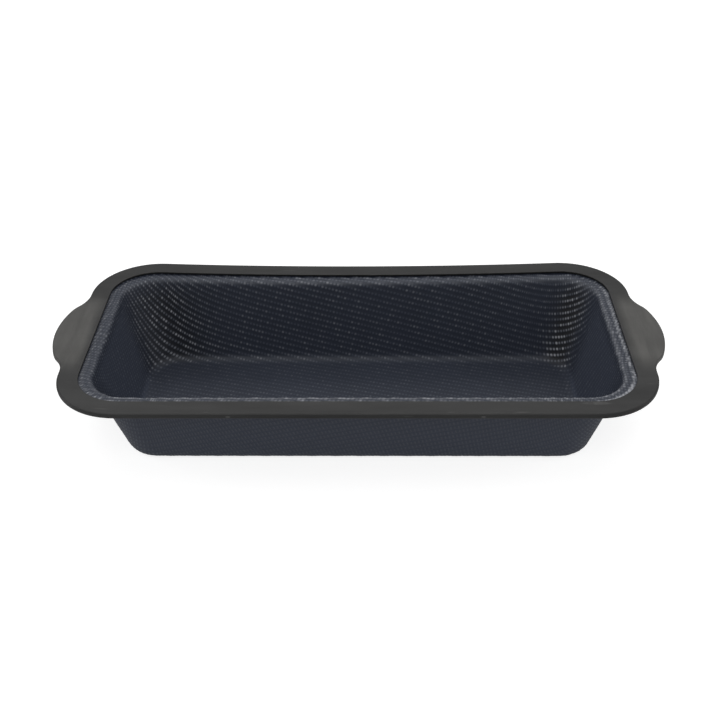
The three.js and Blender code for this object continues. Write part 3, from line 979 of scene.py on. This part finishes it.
def rubbing_group():
    """Long faint rub marks: noise drawn out along one direction, kept only where it is high."""
    tree, given, result = new_group(
        "rub_marks", "ShaderNodeTree",
        [("Vector", "NodeSocketVector", None), ("Stretch", "NodeSocketVector", None),
         ("From", "NodeSocketFloat", 0.55), ("To", "NodeSocketFloat", 0.75)],
        [("Marks", "NodeSocketFloat")])
    drawn = add_node(tree, "ShaderNodeVectorMath",
                     inputs={0: given.outputs["Vector"], 1: given.outputs["Stretch"]},
                     operation="MULTIPLY")
    noise = add_node(tree, "ShaderNodeTexNoise",
                     {"Scale": 1.0, "Detail": 3.0, "Roughness": 0.55},
                     {"Vector": drawn.outputs[0]})
    kept = add_node(tree, "ShaderNodeMapRange",
                    inputs={"Value": noise.outputs[0], "From Min": given.outputs["From"],
                            "From Max": given.outputs["To"]})
    tree.links.new(kept.outputs[0], result.inputs["Marks"])
    return tree


def spot_mask(tree, place, centre, size, both_ends):
    """1 inside an ellipsoid, fading to 0 at its edge; mirrored in x if both_ends is true."""
    apart = add_node(tree, "ShaderNodeSeparateXYZ", inputs={0: place})
    total = None
    for axis, middle, half in zip("XYZ", centre, size):
        along = apart.outputs[axis]
        if axis == "X" and both_ends:
            along = maths(tree, "ABSOLUTE", along)
        off = maths(tree, "DIVIDE", maths(tree, "SUBTRACT", along, middle), half)
        square = maths(tree, "MULTIPLY", off, off)
        total = square if total is None else maths(tree, "ADD", total, square)
    return ramp(tree, total, 1.0, 0.5)


def rim_silicone(skin, rubbing):
    """Dark silicone, uneven in tone: a painted sheen on the ears, paler on the worn edge, with
    soft scuffs, two small pin marks on its front face and a longer pale streak near its right
    front corner."""
    material, tree, shader = new_material("rim_silicone")
    place = tree.nodes.new("ShaderNodeTexCoord").outputs["Object"]

    def marks(stretch, low, high):
        return add_node(tree, "ShaderNodeGroup", {"Stretch": stretch, "From": low, "To": high},
                        {"Vector": place}, node_tree=rubbing).outputs["Marks"]

    def scaled(source, factor):
        return maths(tree, "MULTIPLY", source, factor)

    cured = add_node(tree, "ShaderNodeGroup", {"Patch Scale": 35.0, "Grain Scale": 2400.0},
                     {"Vector": place}, node_tree=skin)
    edge = painted(tree, "edge")
    ear_sheen = painted(tree, "ear_sheen")
    drift = marks((13.0, 60.0, 60.0), 0.32, 0.68)
    flow = marks((190.0, 34.0, 60.0), 0.40, 0.72)
    scuff = marks((60.0, 420.0, 300.0), 0.66, 0.80)
    pins = spot_mask(tree, place, PIN_PLACE, PIN_SIZE, True)
    streak = spot_mask(tree, place, STREAK_PLACE, STREAK_SIZE, False)
    base = blend_colour(tree, drift, SILICONE_DARK, SILICONE_LIGHT)
    # painted sheen: the ears made paler, streaked along the flow marks
    paler = scaled(ear_sheen, ramp(tree, flow, 0.0, 1.0, 0.68, 1.0))
    colour = blend_colour(tree, paler, base, SILICONE_EAR_SHEEN)
    worn = scaled(edge, ramp(tree, cured.outputs["Patches"], 0.35, 0.7, 0.2, 1.0))
    colour = blend_colour(tree, scaled(worn, 0.12), colour, SILICONE_WORN)
    marked = maths(tree, "MAXIMUM", scaled(scuff, 0.5), scaled(pins, 0.45))
    # paler along a streak near the right front corner
    streaked = scaled(streak, ramp(tree, flow, 0, 1, 0.1, 0.5))
    marked = maths(tree, "MAXIMUM", marked, streaked)
    colour = blend_colour(tree, marked, colour, SILICONE_MARKED)
    tree.links.new(colour, shader.inputs["Base Color"])
    rough = maths(tree, "ADD", ramp(tree, drift, 0.0, 1.0, 0.54, 0.45), scaled(scuff, 0.1))
    tree.links.new(rough, shader.inputs["Roughness"])
    ribbed = scaled(flow, scaled(ear_sheen, 1.5))
    relief = maths(tree, "ADD", cured.outputs["Grain"], ribbed)
    add_bump(tree, shader, maths(tree, "SUBTRACT", relief, pins), 0.4, SILICONE_BUMP)
    return material


def hoop_steel():
    material, tree, shader = new_material("hoop_steel", Metallic=1.0)
    place = tree.nodes.new("ShaderNodeTexCoord")
    drawn = add_node(tree, "ShaderNodeTexNoise", {"Scale": 900.0, "Detail": 3.0},
                     {"Vector": place.outputs["Object"]})
    colour = blend_colour(tree, drawn.outputs[0], STEEL_DARK, STEEL_LIGHT)
    tree.links.new(colour, shader.inputs["Base Color"])
    rough = ramp(tree, drawn.outputs[0], 0.3, 0.7, 0.22, 0.42)
    tree.links.new(rough, shader.inputs["Roughness"])
    add_bump(tree, shader, drawn.outputs[0], 0.3, STEEL_BUMP)
    return material


# ---------------------------------------------------------------- studio

FLOOR_SIZE = 6.0
FLOOR_GREY = 0.45
FLOOR_GLOW = 0.80
FLOOR_BOUNCE = 0.22               # share of that glow which lights the pan
FLOOR_DROP = 0.15 * MM            # keeps the table clear of the crowns under the trough
WORLD_LOW = 0.20                  # the room's light near the horizon, and overhead
WORLD_HIGH = 0.50
PAN_MIDDLE = (0, 0, 0.03)
SOFTBOXES = (                     # name, place, width, height, radiance
    ("top_box", (0, 0.1, 1.3), 1.6, 1.2, 0.45),
    ("back_box", (0, 1.1, 1.3), 2.0, 0.6, 1.7),
    ("front_box", (-0.15, -1.0, 1.15), 0.7, 0.5, 3.8),
    ("front_fill", (0, -1.5, 0.22), 2.0, 0.4, 0.4),
    ("left_box", (-1.3, -0.1, 0.75), 1.0, 0.6, 1.9),
    ("right_box", (1.3, -0.1, 0.75), 1.0, 0.6, 1.8))


def make_floor():
    """A pale table that glows, mostly to the camera alone, so that the pan's shadow is faint."""
    half = FLOOR_SIZE / 2
    low = -FLOOR_DROP
    corners = np.array([[-half, -half, low], [half, -half, low], [half, half, low],
                        [-half, half, low]])
    floor = mesh_from("studio_floor", corners, np.array([[0, 1, 2, 3]]))
    material, tree, shader = new_material("pale_floor", Roughness=0.9, Specular_IOR_Level=0.2,
                                          Emission_Strength=FLOOR_GLOW)
    shader.inputs["Base Color"].default_value = (FLOOR_GREY, FLOOR_GREY, FLOOR_GREY, 1)
    path = tree.nodes.new("ShaderNodeLightPath")
    glow = blend_colour(tree, path.outputs["Is Camera Ray"],
                        (FLOOR_BOUNCE, FLOOR_BOUNCE, FLOOR_BOUNCE, 1), (1.0, 1.0, 1.0, 1))
    tree.links.new(glow, shader.inputs["Emission Color"])
    floor.data.materials.append(material)


def softbox(name, place, width, height, radiance):
    """An even rectangular lamp that faces the pan."""
    data = bpy.data.lights.new(name, "AREA")
    data.shape = "RECTANGLE"
    data.size = width
    data.size_y = height
    data.energy = radiance * math.pi * width * height
    lamp = bpy.data.objects.new(name, data)
    bpy.context.scene.collection.objects.link(lamp)
    lamp.location = place
    ahead = Vector(PAN_MIDDLE) - Vector(place)
    lamp.rotation_euler = ahead.to_track_quat("-Z", "Y").to_euler()


def light_studio():
    """A room that lights the pan dimly, more from overhead, and is white to the camera."""
    world = bpy.data.worlds.new("studio")
    world.use_nodes = True
    tree = world.node_tree
    background = tree.nodes["Background"]
    background.inputs["Color"].default_value = (1, 1, 1, 1)
    direction = tree.nodes.new("ShaderNodeTexCoord").outputs["Generated"]
    up = add_node(tree, "ShaderNodeSeparateXYZ", inputs={0: direction}).outputs["Z"]
    light = ramp(tree, up, 0.35, 0.95, WORLD_LOW, WORLD_HIGH)
    seen = tree.nodes.new("ShaderNodeLightPath").outputs["Is Camera Ray"]
    tree.links.new(maths(tree, "MAXIMUM", light, seen), background.inputs["Strength"])
    bpy.context.scene.world = world
    for name, place, width, height, radiance in SOFTBOXES:
        softbox(name, place, width, height, radiance)
    scene = bpy.context.scene
    scene.view_settings.view_transform = "Standard"
    scene.view_settings.look = "None"


def main():
    make_camera()
    light_studio()
    make_floor()
    weave = weave_group()
    skin = mottle_group()
    make_cloth_trough(coated_fabric(weave, skin))
    make_silicone_rim(rim_silicone(skin, rubbing_group()))
    make_wire_hoop(hoop_steel())


main()
